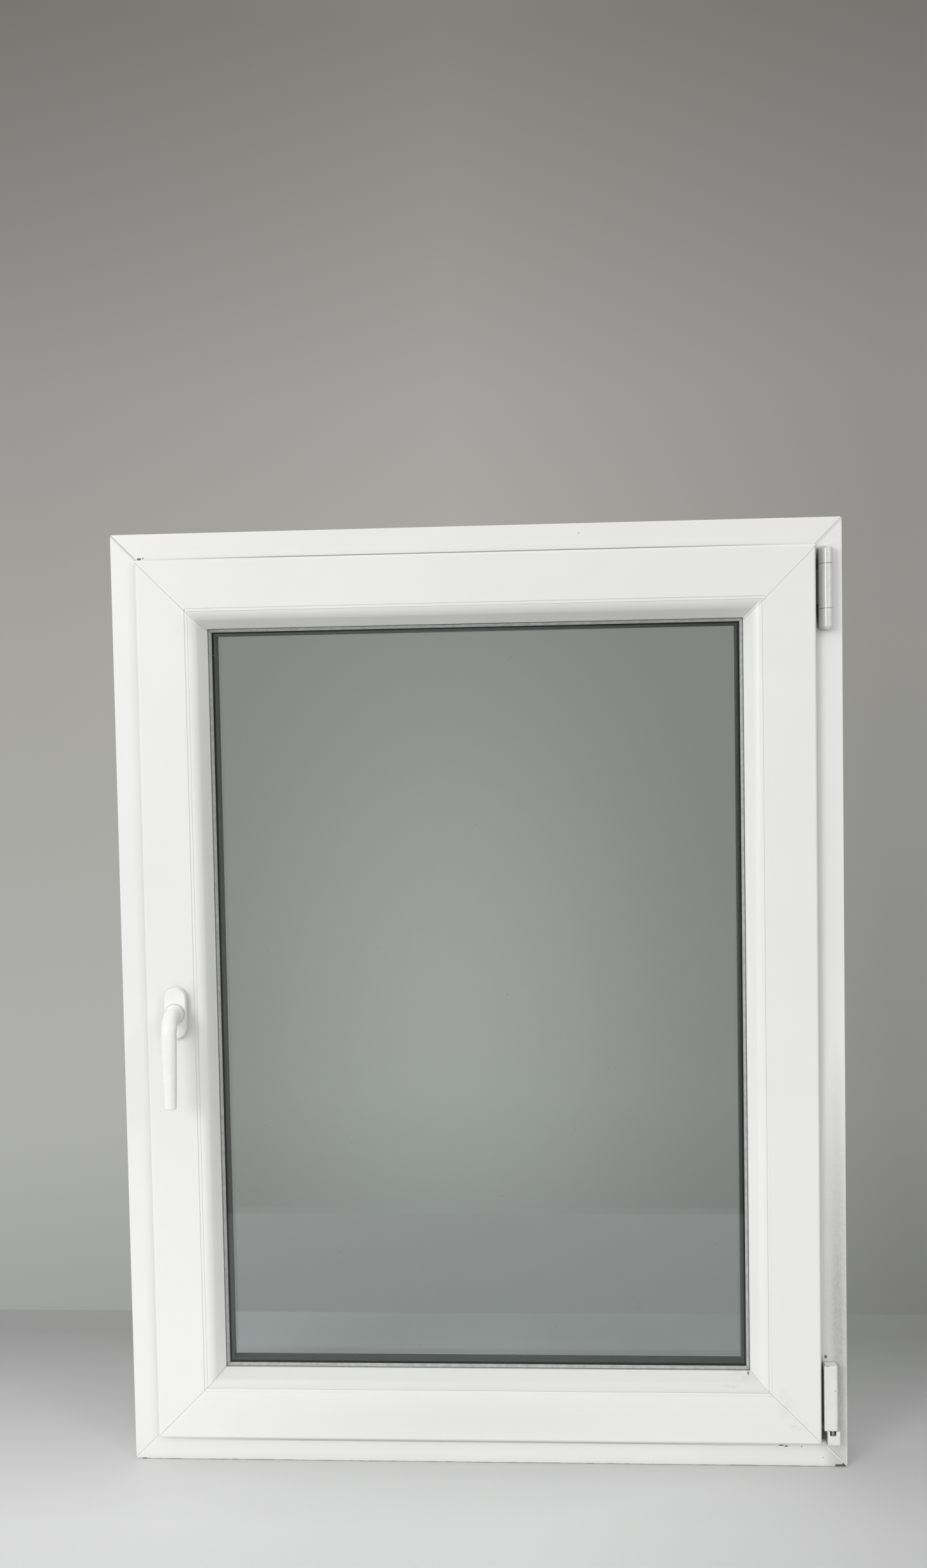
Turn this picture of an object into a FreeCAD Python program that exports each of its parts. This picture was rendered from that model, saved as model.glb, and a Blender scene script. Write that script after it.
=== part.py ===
"""White PVC tilt and turn window, 980 x 1280 mm, hinged on the right and closed.

Millimetres, +X right, +Z up, -Y towards the room. The origin is the centre of the
outer frame's flat bottom face, at mid depth. Profile sections are drawn with u, the
distance in from the frame's outer edge, and y, the depth.
"""
import FreeCAD, Part
import math
import os

V = FreeCAD.Vector

# Overall size and depth of the outer frame
WIDTH = 980.0
HEIGHT = 1280.0
FRAME_DEPTH = 70.0
ROOM_Y = -FRAME_DEPTH / 2.0
WEATHER_Y = FRAME_DEPTH / 2.0

# Outer frame profile
REBATE_U = 46.0
STOP_REACH = 22.0
STOP_THICK = 14.0
CLIP_GROOVE_W = 6.0
CLIP_GROOVE_D = 2.5
CLIP_GROOVE_Y = 24.0
DRAIN_CHANNEL_W = 9.0
DRAIN_CHANNEL_D = 3.5
FRAME_EDGE_R = 1.2
CHANNEL_FROM_STOP = 2.0
CHANNEL_SLOPE = 1.5
CHANNEL_LIP_R = 0.4
STOP_LEAD_U = 2.0
STOP_LEAD_Y = 3.0
STOP_TAPER = 1.5
STOP_R = 0.8
STOP_TIP_R = 1.0
STOP_NOSE_R = 2.5

# Sash profile
SEAL_GAP = 5.0
LIP_U = 36.5
LIP_THICK = 9.0
LIP_R = 3.5
REBATE_AIR = 12.0
FACE_WIDTH = 66.0
STEP_WIDTH = 4.0
STEP_DROP = 0.8
GLASS_SEAT_RISE = 6.5
SEAT_STEP = 1.0
OUTER_LEG_REACH = 23.0
OUTER_LEG_LEAN = 7.0
OUTER_LEG_R = 3.0
LINE_R = 0.5
SEAT_R = 0.6
SASH_EDGE_R = 1.0
LIP_ROOT_R = 0.8
HARDWARE_GROOVE_W = 16.0
HARDWARE_GROOVE_D = 8.0

# Glazing bead
BEAD_WIDTH = 23.0
BEAD_SLOPE_W = 14.8
BEAD_ARC_RUN = 7.2
BEAD_LAND = 2.5
BEAD_EDGE_R = 0.8
BEAD_PLAY = 0.3
BEAD_FOOT_W = 2.6
BEAD_FOOT_D = 3.0
FOOT_PLAY = 0.2

# Sealed glass unit and its gaskets
PANE = 4.0
CAVITY = 16.0
SPACER_WIDTH = 8.0
SPACER_SHOW = 5.0
BUTYL_W = 4.8
BUTYL_T = 0.4
GASKET_THICK = 3.0
GASKET_SHOW = 4.5
GASKET_HELD = 8.0
OUTER_GASKET_SHOW = 3.0
GASKET_LIP = 0.8
GASKET_LIP_U = 1.6
GASKET_TIP_R = 0.3
SEAL_BASE_W = 4.4
SEAL_TIP_W = 2.8

# Weld grooves along the mitres, and the small cut across the frame's outer corners
SASH_WELD_W = 2.4
SASH_WELD_FLOOR = 2.1
SASH_WELD_D = 0.35
FRAME_WELD_W = 1.6
FRAME_WELD_FLOOR = 0.0
FRAME_WELD_D = 0.8
CORNER_CUT = 2.5

# Hinge axis and barrels, on the right jamb
HINGE_IN = 22.0
HINGE_STAND = 11.8
KNUCKLE_R = 7.2
KNUCKLE_LEFT = 11.4
TOP_HINGE_DOWN = 39.0
TOP_CAP_H = 23.0
SLEEVE_H = 59.0
LOW_CAP_H = 28.0
KNUCKLE_END_R = 5.0
SEAM = 0.6
SLEEVE_GAP = 0.5
TOP_PIN_R = 3.5
PIN_SHORT = 6.0
PIN_PLAY = 0.05
LEAF_THICK = 2.2
LEAF_ARM = 16.0
LEAF_SHORT = 6.0
LEAF_PLAY = 0.2

# Bottom hinge, on the right jamb
COVER_W = 18.4
COVER_D = 15.0
COVER_GAP = 1.2
COVER_Z = 57.0
COVER_H = 88.0
COVER_SIDE_R = 4.0
COVER_TOP_R = 2.0
BEARING_H = 18.5
BEARING_SHIFT = 3.2
BEARING_W = 18.2
BEARING_D = 14.5
BEARING_GAP = 1.5
BEARING_R = 1.5
NOTCH_W = 8.3
NOTCH_H = 6.4
NOTCH_WALL = 4.0
BOTTOM_PIN_R = 2.5
BOTTOM_PIN_UP = 20.0
BOTTOM_PIN_FOOT = 4.0

# Handle, on the left stile
HANDLE_IN = 78.0
HANDLE_Z = 630.0
ROSETTE_W = 30.0
ROSETTE_H = 70.0
ROSETTE_T = 10.0
ROSETTE_BASE_T = 2.0
ROSETTE_BASE_IN = 0.8
ROSETTE_BEVEL = 1.5
NECK_R = 9.5
NECK_DEPTH = 5.0
NECK_PLAY = 0.2
COLLAR_R = 13.0
COLLAR_T = 5.4
COLLAR_EDGE = 0.6
STEM_R = 11.0
ELBOW_R = 23.0
ELBOW_START = 12.0
ELBOW_STEPS = 6
LEVER_LENGTH = 121.5
LEVER_ROOT_W = 21.4
LEVER_ROOT_T = 15.0
GRIP_W = 20.6
GRIP_T = 13.6
GRIP_BOW = 0.8
GRIP_END_W = 16.6
GRIP_END_T = 12.2
GRIP_END_R = 1.5
LEVER_SIDES = 24
SPINDLE = 7.0
SPINDLE_PLAY = 0.2
SPINDLE_DEPTH = 24.0

# Drain caps on the weather side of the sill
DRAIN_CAP_W = 42.0
DRAIN_CAP_H = 13.0
DRAIN_CAP_T = 5.0
DRAIN_CAP_IN = 180.0
DRAIN_CAP_Z = 20.0
DRAIN_SLOT_W = 28.0
DRAIN_SLOT_H = 5.0
DRAIN_SLOT_BACK = 6.0
DRAIN_CAP_R = 1.5

# Locking strip in the sash's edge, its cams, and the strikers in the frame's rebate
STRIP_T = 2.5
CAM_R = 4.5
CAM_H = 6.0
CAM_PLAY = 0.3
LOCK_IN = 250.0
STRIKER_LENGTH = 40.0
STRIKER_PLATE = 3.0
STRIKER_LIP_H = 10.0
STRIKER_LIP_T = 4.0
STRIKER_WIDTH = 17.0

# Setting blocks under and beside the glass
BLOCK_LENGTH = 100.0
GLASS_PLAY = 5.0

# Positions that follow from the sizes above
LIP_BACK_Y = ROOM_Y - SEAL_GAP
FACE_Y = LIP_BACK_Y - LIP_THICK
STOP_Y = WEATHER_Y - STOP_THICK
SASH_REAR_Y = STOP_Y - SEAL_GAP
GROOVE_MID_Y = (LIP_BACK_Y + SASH_REAR_Y) / 2.0
STOP_U = REBATE_U + STOP_REACH
SASH_U = REBATE_U + REBATE_AIR
STEP_U = LIP_U + FACE_WIDTH
BEAD_U = STEP_U + STEP_WIDTH
BEAD_TIP_U = BEAD_U + BEAD_WIDTH
SEAT_U = BEAD_U + GLASS_SEAT_RISE
STEP_Y = FACE_Y + STEP_DROP
OUTER_GLASS_Y = SASH_REAR_Y - STOP_THICK
GLASS_REAR_Y = OUTER_GLASS_Y - GASKET_THICK
OUTER_PANE_Y = GLASS_REAR_Y - PANE
CAVITY_Y = OUTER_PANE_Y - CAVITY
GLASS_FRONT_Y = CAVITY_Y - PANE
BEAD_BACK_Y = GLASS_FRONT_Y - GASKET_THICK
GLASS_EDGE_U = SEAT_U + GLASS_PLAY
SIGHT_U = BEAD_TIP_U + GASKET_SHOW
SPACER_IN_U = SIGHT_U + SPACER_SHOW
SPACER_OUT_U = SPACER_IN_U - SPACER_WIDTH
OUTER_LEG_U = BEAD_U + OUTER_LEG_REACH
SPINDLE_TIP_Y = FACE_Y + SPINDLE_DEPTH
HINGE_X = WIDTH / 2.0 - HINGE_IN
HINGE_Y = ROOM_Y - HINGE_STAND
HINGE_LEFT_X = HINGE_X - KNUCKLE_LEFT
TOP_HINGE_TOP = HEIGHT - TOP_HINGE_DOWN
BEARING_TOP = COVER_Z - BEARING_GAP
BEARING_Z = BEARING_TOP - BEARING_H


# A quarter turn, how close a place is taken as the same, and how far a cutter runs past
RIGHT_ANGLE = 90.0
NEAR = 0.01
OVERCUT = 1.0

os.makedirs("parts", exist_ok=True)


def save(name, shape):
    shape.exportStep("parts/" + name + ".step")


def corner_arc(before, point, after, radius):
    """Points where a round of this radius leaves and meets the two edges, and its middle."""
    to_before = (before - point).normalize()
    to_after = (after - point).normalize()
    half = to_before.getAngle(to_after) / 2.0
    run = radius / math.tan(half)
    start = point + to_before * run
    end = point + to_after * run
    bisector = (to_before + to_after).normalize()
    middle = point + bisector * (radius / math.sin(half) - radius)
    return start, middle, end


def section(points):
    """Closed face in the plane of u and y. A point is (u, y) or (u, y, corner radius)."""
    corners = [V(0, p[1], p[0]) for p in points]
    radii = [p[2] if len(p) > 2 else 0.0 for p in points]
    count = len(corners)
    starts, edges = [], []
    for i in range(count):
        if radii[i] > 0:
            arc = corner_arc(corners[i - 1], corners[i], corners[(i + 1) % count], radii[i])
            starts.append((arc[0], arc[2]))
            edges.append(Part.Arc(*arc).toShape())
        else:
            starts.append((corners[i], corners[i]))
            edges.append(None)
    outline = []
    for i in range(count):
        if edges[i] is not None:
            outline.append(edges[i])
        leave, meet = starts[i][1], starts[(i + 1) % count][0]
        if (meet - leave).Length > 1e-6:
            outline.append(Part.makeLine(leave, meet))
    return Part.Face(Part.Wire(outline))


def mitre_prism(length, corner_cut=0.0):
    """Space of one member between its two 45 degree mitres, outer edge along z = 0."""
    half, reach, c = length / 2.0, 2.0 * SPACER_IN_U, corner_cut
    outline = [V(-half + c, 0, 0), V(half - c, 0, 0)]
    if c > 0:
        outline.append(V(half - c / 2.0, 0, c / 2.0))
    outline += [V(half - reach, 0, reach), V(-half + reach, 0, reach)]
    if c > 0:
        outline.append(V(-half + c / 2.0, 0, c / 2.0))
    face = Part.Face(Part.makePolygon(outline + outline[:1]))
    deep = 4.0 * FRAME_DEPTH
    face.translate(V(0, -deep / 2.0, 0))
    return face.extrude(V(0, deep, 0))


def weld_groove(face_y, from_u, to_u, length, width, floor_w, depth):
    """Cutters along both mitres of a member, open on the room face, narrowing to a floor or to a point."""
    cutters = []
    run = (to_u - from_u) * math.sqrt(2.0)
    profile = [V(-width / 2.0, face_y - NEAR, 0), V(width / 2.0, face_y - NEAR, 0),
               V(floor_w / 2.0, face_y + depth, 0)]
    if floor_w:
        profile.append(V(-floor_w / 2.0, face_y + depth, 0))
    for side in (-1, 1):
        prism = Part.Face(Part.makePolygon(profile + profile[:1])).extrude(V(0, 0, run))
        prism.rotate(V(0, 0, 0), V(0, 1, 0), -45.0 * side)
        prism.translate(V(side * (length / 2.0 - from_u), 0, from_u))
        cutters.append(prism)
    return cutters


def member(face, length, corner_cut=0.0):
    """A mitred bar from a section, lying along X with its outer edge on z = 0."""
    bar = face.copy()
    bar.translate(V(-length / 2.0, 0, 0))
    return bar.extrude(V(length, 0, 0)).common(mitre_prism(length, corner_cut))


SIDES = {
    "bottom": (0.0, V(0, 0, 0), WIDTH),
    "top": (180.0, V(0, 0, HEIGHT), WIDTH),
    "left": (90.0, V(-WIDTH / 2.0, 0, HEIGHT / 2.0), HEIGHT),
    "right": (-90.0, V(WIDTH / 2.0, 0, HEIGHT / 2.0), HEIGHT),
}


def place(shape, side):
    """Turn a member made along the bottom to its own side of the window."""
    angle, corner, _ = SIDES[side]
    placed = shape.copy()
    placed.rotate(V(0, 0, 0), V(0, 1, 0), angle)
    placed.translate(corner)
    return placed


def ring(face):
    """All four mitred members of one section joined into a closed loop."""
    parts = [place(member(face, SIDES[side][2]), side) for side in SIDES]
    return parts[0].fuse(parts[1:]).removeSplitter()


def box(x0, x1, y0, y1, z0, z1):
    return Part.makeBox(x1 - x0, y1 - y0, z1 - z0, V(x0, y0, z0))


def frame_section():
    """Flat room face, rebate with its drain channel, and the stop leg on the weather side."""
    g0, g1 = CLIP_GROOVE_Y - CLIP_GROOVE_W / 2.0, CLIP_GROOVE_Y + CLIP_GROOVE_W / 2.0
    channel_y = STOP_Y - CHANNEL_FROM_STOP
    return section([
        (0, ROOM_Y, FRAME_EDGE_R),
        (REBATE_U, ROOM_Y, FRAME_EDGE_R),
        (REBATE_U, channel_y - DRAIN_CHANNEL_W),
        (REBATE_U - DRAIN_CHANNEL_D, channel_y - DRAIN_CHANNEL_W + CHANNEL_SLOPE),
        (REBATE_U - DRAIN_CHANNEL_D, channel_y),
        (REBATE_U, channel_y, CHANNEL_LIP_R),
        (REBATE_U, STOP_Y, STOP_R),
        (STOP_U - STOP_LEAD_U, STOP_Y, STOP_R),
        (STOP_U, STOP_Y + STOP_LEAD_Y, STOP_TIP_R),
        (STOP_U - STOP_TAPER, WEATHER_Y, STOP_NOSE_R),
        (0, WEATHER_Y, FRAME_EDGE_R),
        (0, g1),
        (CLIP_GROOVE_D, g1),
        (CLIP_GROOVE_D, g0),
        (0, g0),
        (0, -g0),
        (CLIP_GROOVE_D, -g0),
        (CLIP_GROOVE_D, -g1),
        (0, -g1),
    ])


def sash_section():
    """Overlap lip and flat face, bead groove, glass seat, outer glazing leg and hardware groove."""
    h0, h1 = GROOVE_MID_Y - HARDWARE_GROOVE_W / 2.0, GROOVE_MID_Y + HARDWARE_GROOVE_W / 2.0
    foot_y = (STEP_Y + BEAD_BACK_Y) / 2.0
    f0, f1 = foot_y - BEAD_FOOT_W / 2.0 - FOOT_PLAY, foot_y + BEAD_FOOT_W / 2.0 + FOOT_PLAY
    return section([
        (LIP_U, FACE_Y, LIP_R),
        (STEP_U, FACE_Y, LINE_R),
        (STEP_U, STEP_Y),
        (BEAD_U, STEP_Y, LINE_R),
        (BEAD_U, f0),
        (BEAD_U - BEAD_FOOT_D - FOOT_PLAY, f0),
        (BEAD_U - BEAD_FOOT_D - FOOT_PLAY, f1),
        (BEAD_U, f1),
        (BEAD_U, BEAD_BACK_Y - SEAT_STEP),
        (SEAT_U, BEAD_BACK_Y - SEAT_STEP, SEAT_R),
        (SEAT_U, OUTER_GLASS_Y),
        (OUTER_LEG_U - STOP_TAPER, OUTER_GLASS_Y, SEAT_R),
        (OUTER_LEG_U, OUTER_GLASS_Y + STOP_LEAD_Y, STOP_TIP_R),
        (OUTER_LEG_U - OUTER_LEG_LEAN, SASH_REAR_Y, OUTER_LEG_R),
        (SASH_U, SASH_REAR_Y, SASH_EDGE_R),
        (SASH_U, h1),
        (SASH_U + HARDWARE_GROOVE_D, h1),
        (SASH_U + HARDWARE_GROOVE_D, h0),
        (SASH_U, h0),
        (SASH_U, LIP_BACK_Y, LIP_ROOT_R),
        (LIP_U, LIP_BACK_Y, SASH_EDGE_R),
    ])


def bead_section():
    """Glazing bead: foot in the sash, round shoulder, and a slope down to the glass gasket."""
    foot_y = (STEP_Y + BEAD_BACK_Y) / 2.0
    f0, f1 = foot_y - BEAD_FOOT_W / 2.0, foot_y + BEAD_FOOT_W / 2.0
    heel_y = BEAD_BACK_Y - SEAT_STEP - BEAD_PLAY
    tip_y = BEAD_BACK_Y - BEAD_LAND
    shoulder_r = BEAD_ARC_RUN / math.tan(math.atan2(tip_y - STEP_Y, BEAD_SLOPE_W) / 2.0)
    return section([
        (BEAD_TIP_U - BEAD_SLOPE_W, STEP_Y, shoulder_r),
        (BEAD_TIP_U, tip_y, LINE_R),
        (BEAD_TIP_U, BEAD_BACK_Y),
        (SEAT_U + BEAD_PLAY, BEAD_BACK_Y),
        (SEAT_U + BEAD_PLAY, heel_y),
        (BEAD_U, heel_y),
        (BEAD_U, f1),
        (BEAD_U - BEAD_FOOT_D, f1),
        (BEAD_U - BEAD_FOOT_D, f0),
        (BEAD_U, f0),
        (BEAD_U, STEP_Y, BEAD_EDGE_R),
    ])


def gasket_section():
    """Grey glazing gasket between the bead and the room-side pane, with its sloping lip."""
    return section([
        (BEAD_TIP_U - GASKET_HELD, BEAD_BACK_Y),
        (BEAD_TIP_U, BEAD_BACK_Y),
        (BEAD_TIP_U + GASKET_LIP_U, BEAD_BACK_Y - GASKET_LIP, LINE_R),
        (SIGHT_U, GLASS_FRONT_Y - GASKET_LIP, GASKET_TIP_R),
        (SIGHT_U, GLASS_FRONT_Y),
        (BEAD_TIP_U - GASKET_HELD, GLASS_FRONT_Y),
    ])


def outer_gasket_section():
    return section([
        (OUTER_LEG_U - GASKET_HELD, GLASS_REAR_Y),
        (OUTER_LEG_U + OUTER_GASKET_SHOW, GLASS_REAR_Y),
        (OUTER_LEG_U + OUTER_GASKET_SHOW, GLASS_REAR_Y + GASKET_LIP),
        (OUTER_LEG_U - GASKET_LIP, OUTER_GLASS_Y),
        (OUTER_LEG_U - GASKET_HELD, OUTER_GLASS_Y),
    ])


def overlap_gasket_section():
    """Seal between the back of the sash lip and the frame's room face."""
    mid = (LIP_U + REBATE_U) / 2.0
    return section([
        (mid - SEAL_BASE_W / 2.0, LIP_BACK_Y),
        (mid + SEAL_BASE_W / 2.0, LIP_BACK_Y),
        (mid + SEAL_TIP_W / 2.0, ROOM_Y),
        (mid - SEAL_TIP_W / 2.0, ROOM_Y),
    ])


def stop_gasket_section():
    """Seal between the sash's rear face and the frame's stop leg."""
    mid = (SASH_U + STOP_U) / 2.0
    return section([
        (mid - SEAL_TIP_W / 2.0, SASH_REAR_Y),
        (mid + SEAL_TIP_W / 2.0, SASH_REAR_Y),
        (mid + SEAL_BASE_W / 2.0, STOP_Y),
        (mid - SEAL_BASE_W / 2.0, STOP_Y),
    ])


def rect_section(u0, u1, y0, y1):
    return section([(u0, y0), (u1, y0), (u1, y1), (u0, y1)])


def drain_slot_x():
    edge = WIDTH / 2.0 - DRAIN_CAP_IN
    return [-edge, 0.0, edge]


def build_frame():
    """Four welded frame members; the sill also has the drain slots behind its caps."""
    names = {"bottom": "frame_sill", "top": "frame_head", "left": "frame_jamb_left",
             "right": "frame_jamb_right"}
    face = frame_section()
    for side, name in names.items():
        length = SIDES[side][2]
        bar = member(face, length, CORNER_CUT)
        bar = bar.cut(Part.makeCompound(weld_groove(ROOM_Y, 0.0, REBATE_U, length, FRAME_WELD_W,
                                                    FRAME_WELD_FLOOR, FRAME_WELD_D)))
        if side == "bottom":
            bar = bar.cut(Part.makeCompound([
                box(x - DRAIN_SLOT_W / 2.0, x + DRAIN_SLOT_W / 2.0,
                    STOP_Y - DRAIN_SLOT_BACK, WEATHER_Y + OVERCUT,
                    DRAIN_CAP_Z - DRAIN_SLOT_H / 2.0, DRAIN_CAP_Z + DRAIN_SLOT_H / 2.0)
                for x in drain_slot_x()]))
        save(name, place(bar, side))


def build_sash():
    names = {"bottom": "sash_bottom_rail", "top": "sash_top_rail", "left": "sash_left_stile",
             "right": "sash_right_stile"}
    face = sash_section()
    for side, name in names.items():
        length = SIDES[side][2]
        bar = member(face, length)
        bar = bar.cut(Part.makeCompound(weld_groove(FACE_Y, LIP_U, STEP_U, length, SASH_WELD_W,
                                                    SASH_WELD_FLOOR, SASH_WELD_D)))
        bar = place(bar, side)
        if side == "left":
            bar = bar.cut(spindle_bar(SPINDLE + 2.0 * SPINDLE_PLAY, FACE_Y, SPINDLE_TIP_Y + SPINDLE_PLAY))
        save(name, bar)


def build_beads():
    face = bead_section()
    for side in SIDES:
        save("bead_" + side, place(member(face, SIDES[side][2]), side))


def build_glass():
    """Two panes, the spacer held between them by butyl, and the sealant behind it."""
    half_w = WIDTH / 2.0 - GLASS_EDGE_U
    top = HEIGHT - GLASS_EDGE_U
    for name, y in (("inner_pane", GLASS_FRONT_Y), ("outer_pane", OUTER_PANE_Y)):
        save(name, box(-half_w, half_w, y, y + PANE, GLASS_EDGE_U, top))
    front_y, back_y = CAVITY_Y + BUTYL_T, OUTER_PANE_Y - BUTYL_T
    save("spacer_bar", ring(rect_section(SPACER_OUT_U, SPACER_IN_U, front_y, back_y)))
    butyl_u = SPACER_OUT_U + BUTYL_W
    butyl = [ring(rect_section(SPACER_OUT_U, butyl_u, CAVITY_Y, front_y)),
             ring(rect_section(SPACER_OUT_U, butyl_u, back_y, OUTER_PANE_Y))]
    save("butyl_seals", Part.makeCompound(butyl))
    save("edge_sealant", ring(rect_section(GLASS_EDGE_U, SPACER_OUT_U, CAVITY_Y, OUTER_PANE_Y)))


def build_setting_blocks():
    """Blocks that carry the glass at the quarter points of the bottom rail."""
    half_w = WIDTH / 2.0 - GLASS_EDGE_U
    blocks = []
    for x in (-half_w / 2.0, half_w / 2.0):
        blocks.append(box(x - BLOCK_LENGTH / 2.0, x + BLOCK_LENGTH / 2.0,
                          GLASS_FRONT_Y, GLASS_REAR_Y, SEAT_U, GLASS_EDGE_U))
    save("setting_blocks", Part.makeCompound(blocks))


def lock_places():
    """Each side's locking points, as distances along it from its middle."""
    upright, level = HEIGHT / 2.0 - LOCK_IN, WIDTH / 2.0 - LOCK_IN
    return {"bottom": (-level, level), "top": (-level, level), "left": (-upright, 0.0, upright),
            "right": (0.0,)}


def build_locking():
    """Strip round the sash's edge with round cams, each behind a striker's lip on the frame."""
    half = HARDWARE_GROOVE_W / 2.0
    strip = rect_section(SASH_U, SASH_U + STRIP_T, GROOVE_MID_Y - half, GROOVE_MID_Y + half)
    lip_back = GROOVE_MID_Y - CAM_R - CAM_PLAY
    lip_front = lip_back - STRIKER_LIP_T
    cams, strikers = [], []
    for side, places in lock_places().items():
        for x in places:
            cam = Part.makeCylinder(CAM_R, CAM_H, V(x, GROOVE_MID_Y, SASH_U - CAM_H))
            x0, x1 = x - STRIKER_LENGTH / 2.0, x + STRIKER_LENGTH / 2.0
            plate = box(x0, x1, lip_front, lip_front + STRIKER_WIDTH, REBATE_U, REBATE_U + STRIKER_PLATE)
            lip = box(x0, x1, lip_front, lip_back, REBATE_U, REBATE_U + STRIKER_LIP_H)
            cams.append(place(cam, side))
            strikers.append(place(plate.fuse(lip).removeSplitter(), side))
    save("locking_strip", ring(strip))
    save("locking_cams", Part.makeCompound(cams))
    save("strikers", Part.makeCompound(strikers))


def build_seals():
    leaf = top_hinge_leaf(LEAF_PLAY).fuse(bottom_hinge_leaf(LEAF_PLAY))
    save("glazing_gasket", ring(gasket_section()))
    save("outer_glazing_gasket", ring(outer_gasket_section()))
    save("sash_seal", ring(overlap_gasket_section()).cut(leaf))
    save("frame_seal", ring(stop_gasket_section()))


def leaf_plate(z0, z1, play):
    """L-shaped leaf: under the sash lip, then back along the sash's edge in the rebate."""
    sash_x = WIDTH / 2.0 - SASH_U
    y_front = ROOM_Y - (SEAL_GAP + LEAF_THICK) / 2.0
    y_back = y_front + LEAF_THICK
    flat = box(sash_x, HINGE_X, y_front - play, y_back + play, z0 - play, z1 + play)
    arm = box(sash_x, sash_x + LEAF_THICK + play, y_front - play, ROOM_Y + LEAF_ARM, z0 - play, z1 + play)
    return flat.fuse(arm)


def top_hinge_leaf(play=0.0):
    top = TOP_HINGE_TOP - TOP_CAP_H
    return leaf_plate(top - SLEEVE_H + LEAF_SHORT, top - LEAF_SHORT, play)


def bottom_hinge_leaf(play=0.0):
    return leaf_plate(COVER_Z + 2.0 * LEAF_SHORT, COVER_Z + COVER_H - 2.0 * LEAF_SHORT, play)


def knuckle(z0, z1, back_gap=0.0):
    """Upright barrel, round towards the room, with a flank that slopes back to the sash lip."""
    centre = V(HINGE_X, HINGE_Y, z0)
    left = V(HINGE_LEFT_X, ROOM_Y - back_gap, z0)
    back = V(HINGE_X + KNUCKLE_R, ROOM_Y - back_gap, z0)
    side = V(HINGE_X + KNUCKLE_R, HINGE_Y, z0)
    reach = centre - left
    heading = math.atan2(reach.y, reach.x) - math.asin(KNUCKLE_R / reach.Length)
    run = math.sqrt(reach.Length ** 2 - KNUCKLE_R ** 2)
    tangent = left + V(math.cos(heading), math.sin(heading), 0) * run
    arc_start = math.atan2(tangent.y - HINGE_Y, tangent.x - HINGE_X)
    arc_mid = arc_start / 2.0 if arc_start < 0 else arc_start / 2.0 + math.pi
    middle = centre + V(math.cos(arc_mid), math.sin(arc_mid), 0) * KNUCKLE_R
    outline = [
        Part.makeLine(left, tangent),
        Part.Arc(tangent, middle, side).toShape(),
        Part.makeLine(side, back),
        Part.makeLine(back, left),
    ]
    return Part.Face(Part.Wire(outline)).extrude(V(0, 0, z1 - z0))


def round_end(shape, z, radius):
    """Rounds the edges of the end face at this height, except along the frame."""
    edges = [e for e in shape.Edges
             if abs(e.BoundBox.ZMin - z) < NEAR and abs(e.BoundBox.ZMax - z) < NEAR
             and e.BoundBox.YMin < ROOM_Y - SEAL_GAP]
    return shape.makeFillet(radius, edges)


def upright_pin(radius, z0, z1):
    return Part.makeCylinder(radius, z1 - z0, V(HINGE_X, HINGE_Y, z0))


def build_top_hinge():
    """Frame bracket with two knuckles, and the sash's sleeve between them on one pin."""
    cap_z = TOP_HINGE_TOP - TOP_CAP_H
    low_z = cap_z - SLEEVE_H
    end_z = low_z - LOW_CAP_H
    pin_low, pin_high = end_z + PIN_SHORT, TOP_HINGE_TOP - PIN_SHORT
    bore = upright_pin(TOP_PIN_R + PIN_PLAY, pin_low, pin_high)
    upper = round_end(knuckle(cap_z + SEAM / 2.0, TOP_HINGE_TOP), TOP_HINGE_TOP, KNUCKLE_END_R)
    lower = round_end(knuckle(end_z, low_z - SEAM / 2.0), end_z, KNUCKLE_END_R)
    sleeve = knuckle(low_z + SEAM / 2.0, cap_z - SEAM / 2.0, SLEEVE_GAP)
    save("top_hinge_upper_knuckle", upper.cut(bore))
    save("top_hinge_lower_knuckle", lower.cut(bore))
    save("top_hinge_sleeve", sleeve.fuse(top_hinge_leaf()).cut(bore).removeSplitter())
    save("top_hinge_pin", upright_pin(TOP_PIN_R, pin_low, pin_high))


def front_uprights(shape, front_y):
    """The upright edges of a block's room face."""
    return [e for e in shape.Edges
            if abs(e.BoundBox.YMin - front_y) < NEAR and abs(e.BoundBox.YMax - front_y) < NEAR
            and e.BoundBox.ZLength > e.BoundBox.XLength]


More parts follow.
